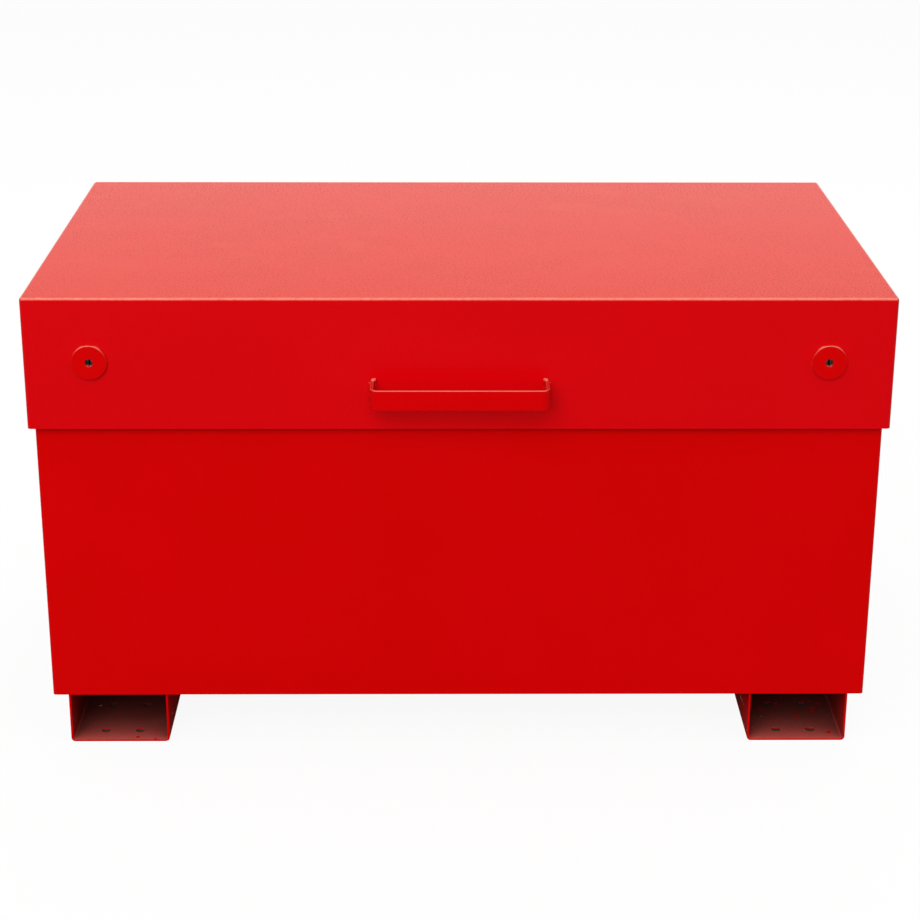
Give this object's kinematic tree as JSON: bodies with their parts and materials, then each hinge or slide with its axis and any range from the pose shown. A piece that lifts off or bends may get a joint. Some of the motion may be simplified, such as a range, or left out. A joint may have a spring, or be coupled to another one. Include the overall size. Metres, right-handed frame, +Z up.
{
  "type": "chemical storage box",
  "caption": "Steel chemical storage box: deep hinged lid with bar handle, gas struts and key locks over a sheet-metal tub with a leak-tight sump, on open channel feet.",
  "frame": {"origin": "middle of the box's footprint, on the floor", "axes": "+X to the right of someone facing the front, +Y to the back, +Z up"},
  "size_m": [1.22, 0.769, 0.694],
  "materials": {
    "red_powder_coat": "gloss powder coat with fine orange peel",
    "zinc_plated_steel": "bright zinc plate",
    "lock_brass": "turned brass",
    "lock_steel": "dull nickel",
    "black_strut_paint": "satin black paint",
    "strut_rod_chrome": "hard chrome",
    "strut_gland_plastic": "moulded black",
    "strut_piston_alloy": "machined",
    "buffer_rubber": "moulded"
  },
  "bodies": {
    "tub": {"front_panel": "red_powder_coat", "back_panel": "red_powder_coat", "left_side_panel": "red_powder_coat", "right_side_panel": "red_powder_coat", "sump_floor_pan": "red_powder_coat", "left_foot": "red_powder_coat", "right_foot": "red_powder_coat", "lid_buffers": "buffer_rubber", "strut_lower_nuts": "zinc_plated_steel", "left_strut_lower_bracket": "zinc_plated_steel", "right_strut_lower_bracket": "zinc_plated_steel", "left_hinge_body_leaf": "red_powder_coat", "left_hinge_pin": "zinc_plated_steel", "centre_hinge_body_leaf": "red_powder_coat", "centre_hinge_pin": "zinc_plated_steel", "right_hinge_body_leaf": "red_powder_coat", "right_hinge_pin": "zinc_plated_steel"},
    "lid": {"lid_shell": "red_powder_coat", "left_lid_stiffener": "red_powder_coat", "right_lid_stiffener": "red_powder_coat", "lid_handle": "red_powder_coat", "left_escutcheon": "red_powder_coat", "right_escutcheon": "red_powder_coat", "lock_cover_screws": "zinc_plated_steel", "strut_upper_nuts": "zinc_plated_steel", "left_hinge_lid_leaf": "red_powder_coat", "centre_hinge_lid_leaf": "red_powder_coat", "right_hinge_lid_leaf": "red_powder_coat", "left_lock_case": "red_powder_coat", "left_lock_cover": "red_powder_coat", "left_lock_barrel": "lock_brass", "left_strut_upper_bracket": "zinc_plated_steel", "right_lock_case": "red_powder_coat", "right_lock_cover": "red_powder_coat", "right_lock_barrel": "lock_brass", "right_strut_upper_bracket": "zinc_plated_steel"},
    "left_key_plug": {"left_key_plug": "lock_steel"},
    "left_lock_bolt": {"left_lock_bolt": "zinc_plated_steel"},
    "left_strut_tube": {"left_strut_tube": "black_strut_paint", "left_strut_gland": "strut_gland_plastic", "left_strut_lower_eye": "black_strut_paint"},
    "left_strut_rod": {"left_strut_rod": "strut_rod_chrome", "left_strut_piston": "strut_piston_alloy", "left_strut_upper_eye": "black_strut_paint"},
    "right_key_plug": {"right_key_plug": "lock_steel"},
    "right_lock_bolt": {"right_lock_bolt": "zinc_plated_steel"},
    "right_strut_tube": {"right_strut_tube": "black_strut_paint", "right_strut_gland": "strut_gland_plastic", "right_strut_lower_eye": "black_strut_paint"},
    "right_strut_rod": {"right_strut_rod": "strut_rod_chrome", "right_strut_piston": "strut_piston_alloy", "right_strut_upper_eye": "black_strut_paint"}
  },
  "joints": [
    {"name": "lid_hinge", "type": "hinge", "parent": "tub", "child": "lid", "pos_m": [0, 0.3765, 0.534], "axis": [-1, 0, 0], "range_deg": [0, 80]},
    {"name": "left_key_turn", "type": "hinge", "parent": "lid", "child": "left_key_plug", "pos_m": [-0.517, -0.3305, 0.6015], "axis": [0, 1, 0], "range_deg": [0, 90]},
    {"name": "left_bolt_slide", "type": "slide", "parent": "lid", "child": "left_lock_bolt", "axis": [0, 0, -1], "range_m": [0, 0.0198]},
    {"name": "left_strut_lower_pivot", "type": "hinge", "parent": "tub", "child": "left_strut_tube", "pos_m": [-0.5455, 0.1745, 0.256], "axis": [-1, 0, 0], "range_deg": [0, 40]},
    {"name": "left_strut_upper_pivot", "type": "hinge", "parent": "lid", "child": "left_strut_rod", "pos_m": [-0.5455, 0.05679, 0.66], "axis": [-1, 0, 0], "range_deg": [-40, 0]},
    {"name": "right_key_turn", "type": "hinge", "parent": "lid", "child": "right_key_plug", "pos_m": [0.517, -0.3305, 0.6015], "axis": [0, 1, 0], "range_deg": [0, 90]},
    {"name": "right_bolt_slide", "type": "slide", "parent": "lid", "child": "right_lock_bolt", "axis": [0, 0, -1], "range_m": [0, 0.0198]},
    {"name": "right_strut_lower_pivot", "type": "hinge", "parent": "tub", "child": "right_strut_tube", "pos_m": [0.5455, 0.1745, 0.256], "axis": [-1, 0, 0], "range_deg": [0, 40]},
    {"name": "right_strut_upper_pivot", "type": "hinge", "parent": "lid", "child": "right_strut_rod", "pos_m": [0.5455, 0.05679, 0.66], "axis": [-1, 0, 0], "range_deg": [-40, 0]}
  ],
  "couplings": [
    {"joint": "left_key_turn", "follows": "left_bolt_slide", "rad_per_m": 79.337},
    {"joint": "left_strut_lower_pivot", "follows": "lid_hinge", "ratio": 0.5},
    {"joint": "left_strut_upper_pivot", "follows": "lid_hinge", "ratio": -0.5},
    {"joint": "right_key_turn", "follows": "right_bolt_slide", "rad_per_m": 79.337},
    {"joint": "right_strut_lower_pivot", "follows": "lid_hinge", "ratio": 0.5},
    {"joint": "right_strut_upper_pivot", "follows": "lid_hinge", "ratio": -0.5}
  ]
}
